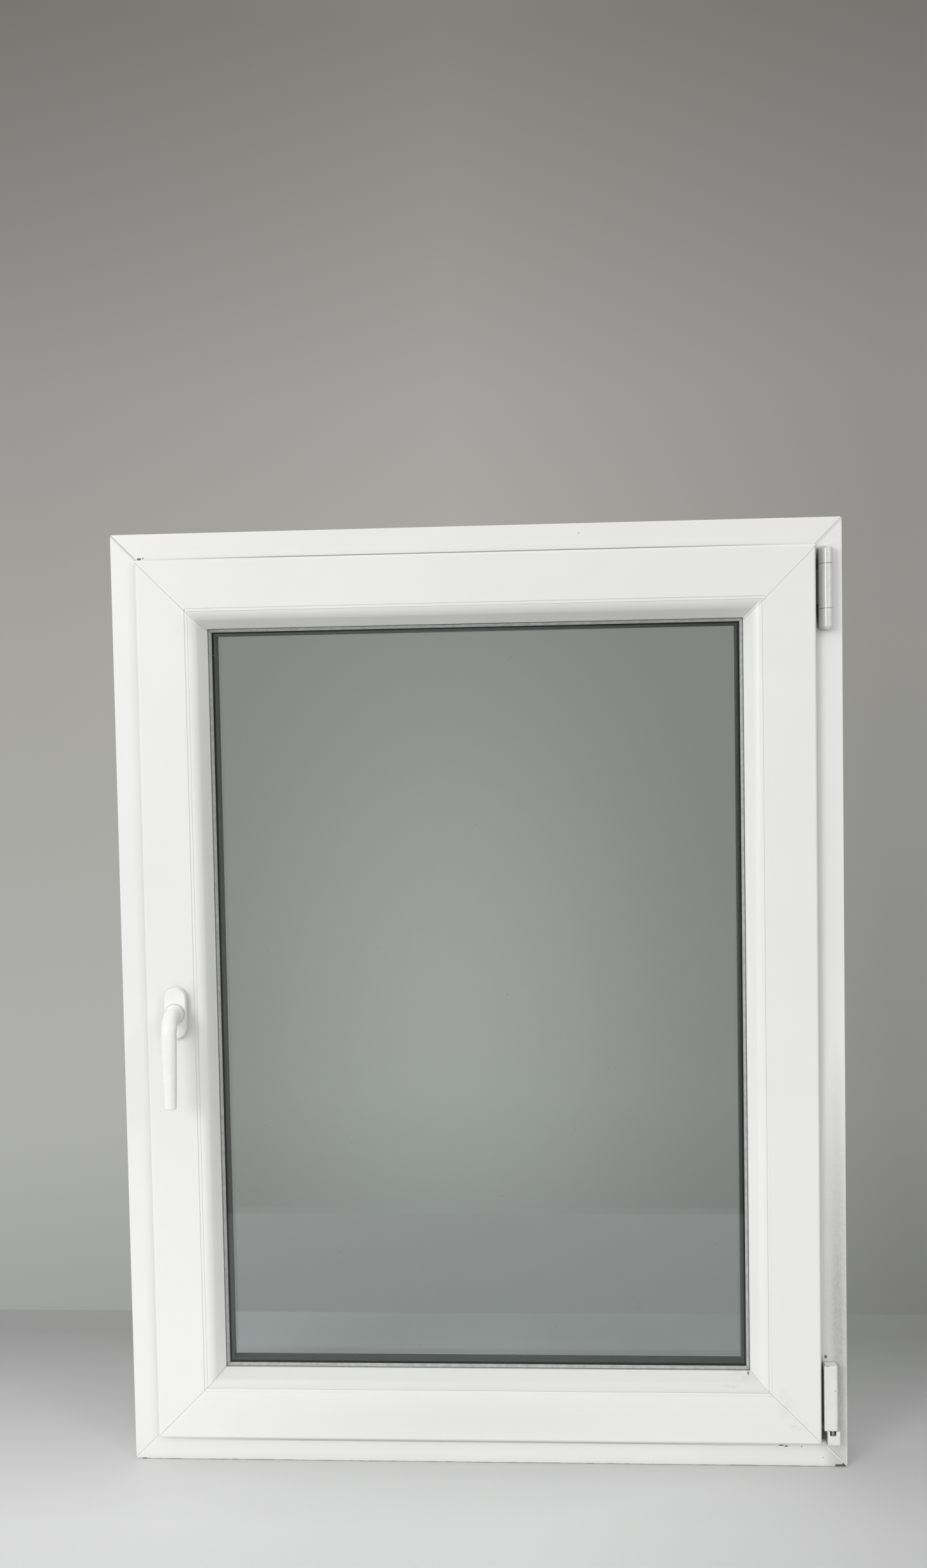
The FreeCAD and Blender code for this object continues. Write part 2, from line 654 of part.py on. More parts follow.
def build_bottom_hinge():
    """Sash bracket under its tall cover, standing on the pin of the frame's corner bearing."""
    front_y = ROOM_Y - COVER_GAP - COVER_D
    cover_top = COVER_Z + COVER_H
    right_x = HINGE_LEFT_X + COVER_W
    cover = box(HINGE_LEFT_X, right_x, front_y, ROOM_Y - COVER_GAP, COVER_Z, cover_top)
    side = [e for e in front_uprights(cover, front_y) if e.BoundBox.XMin > HINGE_X]
    cover = cover.makeFillet(COVER_SIDE_R, side)
    cover = round_end(cover, cover_top, COVER_TOP_R)
    pin_low = BEARING_Z + BOTTOM_PIN_FOOT
    pin_high = COVER_Z + BOTTOM_PIN_UP
    bore = upright_pin(BOTTOM_PIN_R + PIN_PLAY, pin_low, pin_high)
    cover = cover.fuse(bottom_hinge_leaf()).cut(bore).removeSplitter()

    block_x = HINGE_LEFT_X + BEARING_SHIFT
    block_y = ROOM_Y - BEARING_D
    block = box(block_x, block_x + BEARING_W, block_y, ROOM_Y, BEARING_Z, BEARING_TOP)
    block = block.makeFillet(BEARING_R, front_uprights(block, block_y))
    notch = box(HINGE_X - NOTCH_W / 2.0, HINGE_X + NOTCH_W / 2.0, block_y - OVERCUT, ROOM_Y - NOTCH_WALL,
                BEARING_TOP - NOTCH_H, BEARING_TOP + OVERCUT)
    save("bottom_hinge_cover", cover)
    save("bottom_hinge_bearing", block.cut(notch).cut(bore))
    save("bottom_hinge_pin", upright_pin(BOTTOM_PIN_R, pin_low, pin_high))


def oval(width, height, y):
    """Upright slot-shaped face with round ends, centred on the handle's axis."""
    r = width / 2.0
    s = height / 2.0 - r
    edges = [
        Part.makeLine(V(-r, y, -s), V(-r, y, s)),
        Part.Arc(V(-r, y, s), V(0, y, s + r), V(r, y, s)).toShape(),
        Part.makeLine(V(r, y, s), V(r, y, -s)),
        Part.Arc(V(r, y, -s), V(0, y, -s - r), V(-r, y, -s)).toShape(),
    ]
    return Part.Face(Part.Wire(edges))


def lever_ring(half_w, half_t, y, z, turn):
    """Closed oval outline across the lever. At turn 0 it faces the room, at 90 the floor."""
    t = math.radians(turn)
    points = []
    for i in range(LEVER_SIDES):
        angle = 2.0 * math.pi * i / LEVER_SIDES
        across = half_t * math.sin(angle)
        points.append(V(half_w * math.cos(angle), y - across * math.sin(t), z + across * math.cos(t)))
    return Part.makePolygon(points + points[:1])


def lever_rings():
    """Outlines from the collar on the rosette, round the elbow and down to the grip's end."""
    start_y = -ROSETTE_T - ELBOW_START
    reach_y = start_y - ELBOW_R
    collar_y = -ROSETTE_T - COLLAR_T
    rings = [
        lever_ring(COLLAR_R, COLLAR_R, -ROSETTE_T - NECK_PLAY, 0.0, 0.0),
        lever_ring(COLLAR_R, COLLAR_R, collar_y, 0.0, 0.0),
        lever_ring(COLLAR_R - COLLAR_EDGE, COLLAR_R - COLLAR_EDGE, collar_y - COLLAR_EDGE, 0.0, 0.0),
    ]
    for i in range(ELBOW_STEPS + 1):
        turn = RIGHT_ANGLE * i / ELBOW_STEPS
        t = math.radians(turn)
        half_w = STEM_R + (LEVER_ROOT_W / 2.0 - STEM_R) * math.sin(t)
        half_t = STEM_R + (LEVER_ROOT_T / 2.0 - STEM_R) * math.sin(t)
        y = start_y - ELBOW_R * math.sin(t)
        z = -ELBOW_R * (1.0 - math.cos(t))
        rings.append(lever_ring(half_w, half_t, y, z, turn))
    straight = LEVER_LENGTH - ELBOW_R
    grip_z = -ELBOW_R - straight / 3.0
    low_z = -ELBOW_R - straight * 2.0 / 3.0
    mid_w, mid_t = (GRIP_W + GRIP_END_W) / 2.0, (GRIP_T + GRIP_END_T) / 2.0
    end_w, end_t = GRIP_END_W / 2.0, GRIP_END_T / 2.0
    rings += [
        lever_ring(GRIP_W / 2.0, GRIP_T / 2.0, reach_y - GRIP_BOW, grip_z, RIGHT_ANGLE),
        lever_ring(mid_w / 2.0, mid_t / 2.0, reach_y - GRIP_BOW / 2.0, low_z, RIGHT_ANGLE),
        lever_ring(end_w, end_t, reach_y, GRIP_END_R - LEVER_LENGTH, RIGHT_ANGLE),
        lever_ring(end_w - GRIP_END_R, end_t - GRIP_END_R, reach_y, -LEVER_LENGTH, RIGHT_ANGLE),
    ]
    return rings


def build_handle():
    """Oval rosette with a neck, and the lever hanging down when the window is shut."""
    home = V(-WIDTH / 2.0 + HANDLE_IN, FACE_Y, HANDLE_Z)
    inset = 2.0 * ROSETTE_BASE_IN
    base = oval(ROSETTE_W - inset, ROSETTE_H - inset, 0).extrude(V(0, -ROSETTE_BASE_T, 0))
    cap = oval(ROSETTE_W, ROSETTE_H, -ROSETTE_BASE_T).extrude(V(0, ROSETTE_BASE_T - ROSETTE_T, 0))
    rim = [e for e in cap.Edges if e.BoundBox.YMax < NEAR - ROSETTE_T]
    cap = cap.makeChamfer(ROSETTE_BEVEL, rim)
    bore = Part.makeCylinder(NECK_R + NECK_PLAY, NECK_DEPTH, V(0, -ROSETTE_T + NECK_DEPTH, 0), V(0, -1, 0))
    half = SPINDLE / 2.0 + SPINDLE_PLAY
    rosette = base.fuse(cap).cut(bore).cut(box(-half, half, -ROSETTE_T, 0.0, -half, half))
    neck = Part.makeCylinder(NECK_R, NECK_DEPTH + NECK_PLAY, V(0, -ROSETTE_T + NECK_DEPTH, 0), V(0, -1, 0))
    lever = Part.makeLoft(lever_rings(), True, True).fuse(neck)
    for name, shape in (("handle_rosette", rosette), ("handle_lever", lever)):
        shape.translate(home)
        save(name, shape)
    save("handle_spindle", spindle_bar(SPINDLE, FACE_Y - ROSETTE_T + NECK_DEPTH, SPINDLE_TIP_Y))


def spindle_bar(width, y0, y1):
    """Square bar on the handle's axis, between two depths."""
    x, half = -WIDTH / 2.0 + HANDLE_IN, width / 2.0
    return box(x - half, x + half, y0, y1, HANDLE_Z - half, HANDLE_Z + half)


def build_drain_caps():
    """Caps over the sill's drain slots on the weather side."""
    caps = []
    for x in drain_slot_x():
        cap = box(x - DRAIN_CAP_W / 2.0, x + DRAIN_CAP_W / 2.0, WEATHER_Y, WEATHER_Y + DRAIN_CAP_T,
                  DRAIN_CAP_Z - DRAIN_CAP_H / 2.0, DRAIN_CAP_Z + DRAIN_CAP_H / 2.0)
        edges = [e for e in cap.Edges if e.BoundBox.YMin > WEATHER_Y + DRAIN_CAP_T - NEAR]
        caps.append(cap.makeFillet(DRAIN_CAP_R, edges))
    save("drain_caps", Part.makeCompound(caps))


build_frame()
build_sash()
build_beads()
build_glass()
build_setting_blocks()
build_seals()
build_locking()
build_top_hinge()
build_bottom_hinge()
build_handle()
build_drain_caps()
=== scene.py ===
import math

import bmesh
import bpy
from mathutils import Matrix, Vector


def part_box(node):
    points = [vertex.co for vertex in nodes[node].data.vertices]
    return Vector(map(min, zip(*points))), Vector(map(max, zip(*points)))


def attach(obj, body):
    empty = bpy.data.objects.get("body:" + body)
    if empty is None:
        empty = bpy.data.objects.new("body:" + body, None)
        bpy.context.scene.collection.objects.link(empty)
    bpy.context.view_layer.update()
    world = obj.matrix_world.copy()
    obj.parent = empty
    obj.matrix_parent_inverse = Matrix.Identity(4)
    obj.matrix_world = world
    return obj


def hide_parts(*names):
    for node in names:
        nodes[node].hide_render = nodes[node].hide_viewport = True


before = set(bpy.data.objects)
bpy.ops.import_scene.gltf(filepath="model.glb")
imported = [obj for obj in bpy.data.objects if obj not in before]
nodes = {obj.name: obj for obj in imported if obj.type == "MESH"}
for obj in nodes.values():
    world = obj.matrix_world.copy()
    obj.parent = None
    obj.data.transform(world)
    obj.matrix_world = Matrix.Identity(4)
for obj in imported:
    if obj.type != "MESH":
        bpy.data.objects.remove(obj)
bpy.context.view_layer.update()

MM = 0.001

# The photograph's view: camera place, how it is turned, and its lens in pixels of the tall image
IMAGE_HEIGHT = 2455
CAMERA_PLACE = Vector((100, -2000, 1025)) * MM
CAMERA_YAW = 0.05868
CAMERA_PITCH = -0.04574
CAMERA_ROLL = 0.01818
FOCAL_PIXELS = 2289.65
SENSOR = 36.0

# Places on the window that the finishing pieces are worked out from
frame_low, frame_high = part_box("frame_jamb_right")
ROOM_Y = frame_low.y
HALF_WIDTH = frame_high.x
HEIGHT = frame_high.z
FACE_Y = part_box("sash_right_stile")[0].y
BEAD_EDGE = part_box("bead_right")[1].x


def deselect():
    bpy.ops.object.select_all(action="DESELECT")


def only(piece):
    """Selects this object and nothing else."""
    deselect()
    piece.select_set(True)
    bpy.context.view_layer.objects.active = piece


def edit(piece):
    """Opens the piece for editing with nothing selected."""
    only(piece)
    bpy.ops.object.mode_set(mode="EDIT")
    bpy.ops.mesh.select_mode(type="EDGE")
    bpy.ops.mesh.select_all(action="DESELECT")


def done():
    bpy.ops.object.mode_set(mode="OBJECT")


def pick_edges(piece, wanted):
    """Selects the edges that the test takes, with the piece open for editing."""
    skin = bmesh.from_edit_mesh(piece.data)
    for edge in skin.edges:
        edge.select_set(bool(wanted(edge)))
    skin.select_flush_mode()
    bmesh.update_edit_mesh(piece.data)


def applied(piece, kind, **settings):
    """Adds one modifier and applies it."""
    only(piece)
    modifier = piece.modifiers.new(kind.title(), kind)
    for name, value in settings.items():
        setattr(modifier, name, value)
    bpy.ops.object.modifier_apply(modifier=modifier.name)


def smooth(piece, angle):
    """Smooth shading, with broad faces kept flat and edges past the angle in degrees kept sharp."""
    only(piece)
    bpy.ops.object.shade_smooth_by_angle(angle=math.radians(angle))
    applied(piece, "WEIGHTED_NORMAL", keep_sharp=True, weight=100)


def placed(piece):
    """Puts the piece's place, turn and size into its mesh."""
    only(piece)
    bpy.ops.object.transform_apply(location=True, rotation=True, scale=True)


def dress(piece, finish):
    """Gives a piece its material and its slot, and lets it ride on the window's one body."""
    piece.data.materials.clear()
    piece.data.materials.append(finish)
    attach(piece, "root")


# How near points have to be to become one, and how level faces have to be (degrees) to become one
POINT_MERGE = 0.005 * MM
FLAT_MERGE = 0.5


def traced(node, name, join_flats=True):
    """A copy of a node's mesh in one skin, to finish as a new piece."""
    piece = bpy.data.objects.new(name, nodes[node].data.copy())
    bpy.context.scene.collection.objects.link(piece)
    edit(piece)
    bpy.ops.mesh.select_all(action="SELECT")
    bpy.ops.mesh.remove_doubles(threshold=POINT_MERGE)
    if join_flats:
        bpy.ops.mesh.dissolve_limited(angle_limit=math.radians(FLAT_MERGE))
    done()
    if piece.data.has_custom_normals:
        bpy.ops.mesh.customdata_custom_splitnormals_clear()
    return piece


# Materials

def linear(hex_colour):
    """Linear colour of an sRGB hex value."""
    parts = [int(hex_colour[i:i + 2], 16) / 255 for i in (1, 3, 5)]
    return tuple(c / 12.92 if c <= 0.04045 else ((c + 0.055) / 1.055) ** 2.4 for c in parts) + (1.0,)


def add_node(material, kind, inputs=None, **settings):
    """Adds one node with its settings, and sets or links its inputs."""
    node = material.node_tree.nodes.new("ShaderNode" + kind)
    for name, value in settings.items():
        setattr(node, name, value)
    for socket, value in (inputs or {}).items():
        if isinstance(value, bpy.types.NodeSocket):
            material.node_tree.links.new(value, node.inputs[socket])
        else:
            node.inputs[socket].default_value = value
    return node


def new_material(name):
    """An empty node material and its output."""
    material = bpy.data.materials.new(name)
    material.use_nodes = True
    material.node_tree.nodes.clear()
    return material, add_node(material, "OutputMaterial")


def object_point(material):
    return add_node(material, "TexCoord").outputs["Object"]


def speckle(material, grain_mm, stretch=(1, 1, 1), detail=3.0):
    """Noise whose grains are this many millimetres wide."""
    scaled = add_node(material, "Mapping", {"Vector": object_point(material), "Scale": stretch})
    noise = add_node(material, "TexNoise", {
        "Vector": scaled.outputs[0], "Scale": 1.0 / (grain_mm * MM), "Detail": detail})
    return noise.outputs["Fac"]


def ranged(material, value, low, high, to_low=0.0, to_high=1.0):
    """The value carried from one range to another, held at both ends."""
    node = add_node(material, "MapRange", {
        "Value": value, "From Min": low, "From Max": high, "To Min": to_low, "To Max": to_high})
    return node.outputs["Result"]


def mixed(material, share, first, second):
    """One colour passing into another."""
    node = add_node(material, "Mix", {0: share, 6: first, 7: second}, data_type="RGBA")
    return node.outputs[2]


def combined(material, operation, first, second):
    return add_node(material, "Math", {0: first, 1: second}, operation=operation).outputs[0]


def absolute(material, value):
    return add_node(material, "Math", {0: value}, operation="ABSOLUTE").outputs[0]


BUMP_DEPTH = 0.05 * MM


def bumped(material, height, strength):
    """The surface's normal, leaning as if the skin rose and fell with the height."""
    bump = add_node(material, "Bump", {"Height": height, "Strength": strength, "Distance": BUMP_DEPTH})
    return bump.outputs[0]


def surfaced(material, output, inputs):
    """Gives a material its one surface."""
    shader = add_node(material, "BsdfPrincipled", inputs)
    material.node_tree.links.new(shader.outputs[0], output.inputs["Surface"])
    return material


def grime_and_shade_textures(material):
    """Ways in which dirt and painted shade break up: fine specks, soft clouds, an even film; none for a
    plain painted shade.
    """
    return {
        "fine": ranged(material, speckle(material, 3.0), 0.40, 0.60),
        "soft": ranged(material, speckle(material, 10.0), 0.25, 0.70),
        "film": ranged(material, speckle(material, 2.6), 0.30, 0.70, 0.78, 1.0),
        "crust": speckle(material, 1.5),
        "plain": None,
    }


# Where, from the middle to the rim, a patch starts to thin out; and how sharply crumbs end
LINE_CORE = 0.55
PATCH_CORE = 0.15
CRUMB_EDGE = (0.86, 1.02)


def grime_and_shade_patch(material, point, centre, reach, amount, kind, straight, textures):
    """Dirt, and painted shade too, that is thickest at a place and thins out over its reach; straight for a
    line or a bar.
    """
    offset = add_node(material, "VectorMath", {0: point, 1: Vector(centre) * MM}, operation="SUBTRACT")
    across = add_node(material, "VectorMath", {0: offset.outputs[0], 1: Vector(reach) * MM},
                      operation="DIVIDE")
    if straight:
        sides = add_node(material, "VectorMath", {0: across.outputs[0]}, operation="ABSOLUTE")
        parts = add_node(material, "SeparateXYZ", {0: sides.outputs[0]}).outputs
        distance = combined(material, "MAXIMUM", combined(material, "MAXIMUM", parts[0], parts[1]), parts[2])
        near = ranged(material, distance, 1.0, LINE_CORE)
    else:
        distance = add_node(material, "VectorMath", {0: across.outputs[0]}, operation="LENGTH")
        near = ranged(material, distance.outputs["Value"], 1.0, PATCH_CORE)
    if kind == "crust":
        near = ranged(material, combined(material, "ADD", near, textures[kind]), *CRUMB_EDGE)
    elif kind != "plain":
        near = combined(material, "MULTIPLY", near, textures[kind])
    return combined(material, "MULTIPLY", near, amount)


# Dirt and painted shade on the window: centre and reach in mm, how dark, how it breaks up, and True
# for a straight line. First the dusty right jamb and the crumbs by its bearing.
PVC_GRIME_AND_SHADE = [
    ((478.0, -35.0, 190.0), (24.0, 9.0, 400.0), 0.50, "film", False),
    ((470.0, -35.0, 162.0), (14.0, 9.0, 22.0), 0.22, "film", False),
    ((461.5, -35.0, 152.0), (3.4, 9.0, 4.0), 0.80, "crust", False),
    ((468.0, -35.0, 30.0), (24.0, 9.0, 15.0), 0.20, "film", False),
    # Black crumbs in the bottom right corner and along the sill
    ((480.5, -35.0, 1.2), (9.0, 6.0, 2.6), 0.92, "crust", True),
    ((484.5, -35.0, 3.2), (3.8, 6.0, 4.4), 0.92, "crust", False),
    ((401.0, -35.0, 28.6), (7.0, 6.0, 1.2), 0.92, "crust", False),
    ((407.5, -35.0, 27.6), (3.6, 6.0, 1.6), 0.92, "crust", False),
    ((428.3, -35.0, 27.1), (1.5, 6.0, 1.4), 0.90, "crust", False),
    ((457.1, -35.0, 12.4), (1.3, 6.0, 1.3), 0.70, "crust", False),
    # Crumbs in the top left corner and along the sill's foot
    ((-450.5, -35.0, 1246.4), (4.6, 9.0, 2.4), 0.90, "crust", False),
    ((-445.0, -35.0, 1247.4), (2.0, 9.0, 2.0), 0.60, "crust", False),
    ((-478.0, -35.0, 0.6), (7.0, 6.0, 1.3), 0.90, "crust", False),
    ((-440.0, -35.0, 0.4), (12.0, 6.0, 0.9), 0.70, "crust", False),
    ((350.0, -35.0, 0.4), (30.0, 6.0, 0.9), 0.60, "crust", False),
    ((144.0, -35.0, 1267.0), (2.2, 9.0, 1.6), 0.40, "film", False),
    # Smudges on the sash and its beads
    ((404.0, -49.0, 88.0), (13.0, 8.0, 28.0), 0.14, "soft", False),
    ((420.0, -49.0, 62.0), (16.0, 8.0, 9.0), 0.14, "fine", False),
    ((332.0, -49.0, 115.0), (16.0, 12.0, 3.2), 0.16, "fine", False),
    ((352.0, -40.0, 126.0), (34.0, 26.0, 12.0), 0.12, "soft", False),
    ((357.5, -40.0, 128.0), (4.5, 14.0, 4.0), 0.75, "crust", False),
    ((-380.0, -40.0, 1150.0), (26.0, 26.0, 20.0), 0.08, "soft", False),
    # Painted shade: dark lines along the sash's top and foot and in the gap beside both hinges
    ((0.0, -35.0, 1245.3), (455.0, 9.0, 1.1), 0.62, "plain", True),
    ((0.0, -35.0, 29.0), (452.0, 9.0, 1.4), 0.36, "plain", True),
    ((455.2, -35.0, 1186.0), (3.0, 9.0, 58.0), 0.90, "plain", True),
    ((455.2, -35.0, 97.0), (3.0, 9.0, 62.0), 0.90, "plain", True),
    ((457.0, -35.0, 46.0), (3.6, 9.0, 14.0), 0.90, "plain", True),
    # Painted shade on the bottom rail, round the handle and towards the glass on the left bead
    ((0.0, -49.0, 66.0), (470.0, 14.0, 60.0), 0.09, "film", False),
    ((-391.0, -49.0, 626.0), (12.0, 6.0, 52.0), 0.20, "plain", False),
    ((-433.0, -49.0, 616.0), (12.0, 6.0, 56.0), 0.11, "plain", False),
    ((-366.0, -30.0, 640.0), (13.0, 18.0, 600.0), 0.16, "plain", False),
]


# How far a place has to be folded in before painted crease shade starts to show, and when it shows in full
CREASE_OPEN, CREASE_CLOSED = 0.96, 0.30
# Dirt and painted contact shade lie on the lowest millimetre or so, where the window stands
FOOT_TOP, FOOT_LOW = 1.6 * MM, 0.2 * MM
DARKEST_DIRT_AND_SHADE = 0.92
# The colour of dirt and painted shade, how near the other side of a crease is in mm, and how dark the
# painted crease shade gets
PVC_DIRT_AND_SHADE = "#302D29"
PVC_CREASE_MM, PVC_CREASE_SHARE = 13.0, 0.11
FITTING_DIRT_AND_SHADE = "#2B2A28"
FITTING_CREASE_MM, FITTING_CREASE_SHARE = 2.5, 0.45
RUBBER_DIRT_AND_SHADE = "#232322"
RUBBER_CREASE_MM = 4.0


def grimed_and_shaded(material, clean, patches, dirt_colour, crease_mm, crease_share):
    """The clean colour with painted shade in the creases, dirt and painted contact shade along the bottom
    edge, and dirt and painted shade at the patches.
    """
    point = object_point(material)
    textures = grime_and_shade_textures(material)
    # Ambient occlusion darkens the creases: painted shade
    crease = add_node(material, "AmbientOcclusion", {"Distance": crease_mm * MM}, samples=6)
    folded = ranged(material, crease.outputs["AO"], CREASE_OPEN, CREASE_CLOSED)
    share = combined(material, "MULTIPLY", folded, crease_share)
    for centre, reach, amount, kind, straight in patches:
        patch = grime_and_shade_patch(material, point, centre, reach, amount, kind, straight, textures)
        share = combined(material, "MAXIMUM", share, patch)
    # Darker along the foot: dirt and painted contact shade where the window stands on the floor
    height = add_node(material, "SeparateXYZ", {0: point}).outputs["Z"]
    foot = ranged(material, height, FOOT_TOP, FOOT_LOW)
    broken = ranged(material, textures["soft"], 0.3, 0.8, 0.15, 0.65)
    foot = combined(material, "MULTIPLY", foot, broken)
    share = combined(material, "MAXIMUM", share, foot)
    share = combined(material, "MINIMUM", share, DARKEST_DIRT_AND_SHADE)
    return mixed(material, share, clean, linear(dirt_colour))


# The painted shade line of each weld groove lies on the stile's side of each mitre, measured level across it
MITRE_LINE_ASIDE = 1.4 * MM
MITRE_LINE_REACH = 1.1 * MM
MITRE_LINE_CORE = 0.3 * MM
MITRE_LINE_SHARE = 0.30


def mitre_painted_shade(material):
    """How much of the painted shade line beside each mitre's weld falls on a place."""
    parts = add_node(material, "SeparateXYZ", {0: object_point(material)}).outputs
    across = absolute(material, parts["X"])
    rise = absolute(material, combined(material, "SUBTRACT", parts["Z"], HEIGHT / 2))
    past_mitre = combined(material, "SUBTRACT", across, rise)
    line_middle = HALF_WIDTH - HEIGHT / 2 + MITRE_LINE_ASIDE
    distance = absolute(material, combined(material, "SUBTRACT", past_mitre, line_middle))
    return ranged(material, distance, MITRE_LINE_REACH, MITRE_LINE_CORE, 0.0, MITRE_LINE_SHARE)


def extruded_pvc(name, streak, dull="#EEEEEC", bright="#F2F2F1"):
    """Rigid PVC window profile: satin white, with faint die lines along the bar, dirt at its patches, and
    painted shade in its creases, at other patches and beside each mitre.
    """
    material, output = new_material(name)
    cloud = ranged(material, speckle(material, 160.0), 0.25, 0.75)
    clean = mixed(material, cloud, linear(dull), linear(bright))
    colour = grimed_and_shaded(material, clean, PVC_GRIME_AND_SHADE, PVC_DIRT_AND_SHADE, PVC_CREASE_MM, PVC_CREASE_SHARE)
    # Painted shade of the weld groove beside each mitre
    colour = mixed(material, mitre_painted_shade(material), colour, linear(PVC_DIRT_AND_SHADE))
    lines = speckle(material, 0.9, streak, 2.0)
    grain = speckle(material, 0.5, (1, 1, 1), 1.0)
    lines = combined(material, "MULTIPLY", lines, 0.7)
    grain = combined(material, "MULTIPLY", grain, 0.3)
    relief = combined(material, "ADD", lines, grain)
    gloss = ranged(material, speckle(material, 30.0), 0.3, 0.7, 0.30, 0.42)
    return surfaced(material, output, {
        "Base Color": colour, "Roughness": gloss, "IOR": 1.53, "Normal": bumped(material, relief, 0.10)})


# Rigid PVC is a satin white whose tiny die lines run the way the bar was pushed out
pvc_rails = extruded_pvc("extruded_pvc_rails", (0.004, 1, 1))
pvc_stiles = extruded_pvc("extruded_pvc_stiles", (1, 1, 0.004))
# The top and bottom beads are a shade greyer than the sash: painted shade for their slopes, which face down
# and up away from the mostly frontal light
shaded_pvc_bead_rails = extruded_pvc("extruded_pvc_bead_rails", (0.004, 1, 1), "#E1E1DF", "#E5E5E4")


def scraped():
    """PVC scraped level over a weld: whiter and rougher than the skin of the bar."""
    material, output = new_material("scraped_pvc_weld")
    scrape = speckle(material, 0.7, (1, 1, 1), 3.0)
    colour = mixed(material, ranged(material, scrape, 0.3, 0.7), linear("#F8F8F7"), linear("#FDFDFC"))
    return surfaced(material, output, {
        "Base Color": colour, "Roughness": 0.5, "Normal": bumped(material, scrape, 0.25)})


# A scraped weld shows as a thin band that is whiter and duller than the profile
scraped_weld = scraped()


def coated(name, light, dark, gloss, metal, peel_mm, patches=(), lacquer=0.25):
    """Powder coat on cast metal, or a moulded cover: even colour with a slight orange peel, painted shade in
    its creases, and dirt and painted shade at its patches.
    """
    material, output = new_material(name)
    cloud = ranged(material, speckle(material, 14.0), 0.35, 0.65)
    clean = mixed(material, cloud, linear(dark), linear(light))
    colour = grimed_and_shaded(material, clean, patches, FITTING_DIRT_AND_SHADE, FITTING_CREASE_MM, FITTING_CREASE_SHARE)
    peel = speckle(material, peel_mm, (1, 1, 1), 1.0)
    return surfaced(material, output, {
        "Base Color": colour, "Roughness": gloss, "Metallic": metal, "Normal": bumped(material, peel, 0.12),
        "Coat Weight": lacquer, "Coat Roughness": 0.12})


# Powder-coated aluminium is a clean semi-gloss white with a clear highlight
handle_coat = coated("powder_coated_aluminium", "#F9F9F7", "#F5F5F3", 0.20, 0.0, 0.8, (), 0.45)
# Painted shade darkens the gap where the hinge's leaf dips in beside the sash, and the
# barrel's left half
HINGE_PAINTED_SHADE = [
    ((455.0, -36.0, 1186.0), (4.4, 14.0, 70.0), 0.92, "plain", True),
    ((461.2, -44.0, 1186.0), (8.6, 40.0, 400.0), 0.46, "plain", False),
]
# The barrel hinge is lacquered silver-white zinc, greyer than the profile and glossier
hinge_coat = coated("lacquered_zinc", "#F0F0EE", "#E9E9E7", 0.30, 0.16, 0.6, HINGE_PAINTED_SHADE, 0.10)
# The bottom hinge's cover is moulded ABS, plain white with a soft sheen
# Dirt: two crumbs on the cover; painted shade: the dark notch between cover and bearing, the gap left of the
# bearing, and the gap beside the cover
COVER_DIRT_AND_SHADE = [
    ((461.5, -49.0, 145.5), (4.0, 6.0, 2.2), 0.30, "crust", False),
    ((471.0, -51.0, 112.0), (1.2, 4.0, 1.2), 0.80, "crust", False),
    ((467.6, -41.0, 53.6), (9.0, 8.0, 5.4), 0.92, "plain", True),
    ((459.2, -41.0, 45.6), (2.2, 12.0, 11.0), 0.90, "plain", True),
    ((455.0, -36.0, 97.0), (4.4, 14.0, 64.0), 0.92, "plain", True),
]
cover_plastic = coated("moulded_abs", "#EAEAE7", "#E4E4E1", 0.34, 0.0, 0.7, COVER_DIRT_AND_SHADE)


def dull_skin(name, light, dark, roughness, crease_share=0.0):
    """Rubber, sealant or plain plastic: matt, with a dusty bloom, and with painted shade where it is tucked
    in.
    """
    material, output = new_material(name)
    bloom = ranged(material, speckle(material, 6.0, (1, 1, 1), 5.0), 0.35, 0.7)
    colour = mixed(material, bloom, linear(dark), linear(light))
    if crease_share:
        colour = grimed_and_shaded(material, colour, (), RUBBER_DIRT_AND_SHADE, RUBBER_CREASE_MM, crease_share)
    return surfaced(material, output, {
        "Base Color": colour, "Roughness": roughness,
        "Normal": bumped(material, speckle(material, 0.6), 0.2)})


# Grey EPDM rubber is soft and matt; the dust on it makes it a little lighter in patches, and painted shade
# darkens it where it is tucked in beside the bead
gasket_rubber = dull_skin("epdm_rubber", "#BCBEBD", "#A8AAA9", 0.60, 0.65)
seal_rubber = dull_skin("epdm_seal_rubber", "#6F7271", "#606362", 0.68)
# Butyl and polysulphide round the glass edge are near black and dull
edge_sealant = dull_skin("polysulphide_sealant", "#1B1C1C", "#131414", 0.75)
# The warm-edge spacer is dark, slightly green grey plastic foil, smoother than the sealant
spacer_foil = dull_skin("spacer_foil", "#2B3434", "#252D2D", 0.50)
# Setting blocks are moulded polypropylene, grey blue and waxy
block_plastic = dull_skin("polypropylene", "#4A5159", "#41474E", 0.48)


def plated_steel():
    """Zinc-plated steel: bright grey, with fine turning lines round the pin."""
    material, output = new_material("zinc_plated_steel")
    turning = speckle(material, 0.35, (0.05, 0.05, 1), 2.0)
    colour = mixed(material, ranged(material, turning, 0.3, 0.7), linear("#8D8E8E"), linear("#C2C3C4"))
    gloss = ranged(material, turning, 0.3, 0.7, 0.22, 0.42)
    return surfaced(material, output, {"Base Color": colour, "Metallic": 1.0, "Roughness": gloss})


# Zinc-plated steel shines through the bearing's notch
pin_steel = plated_steel()


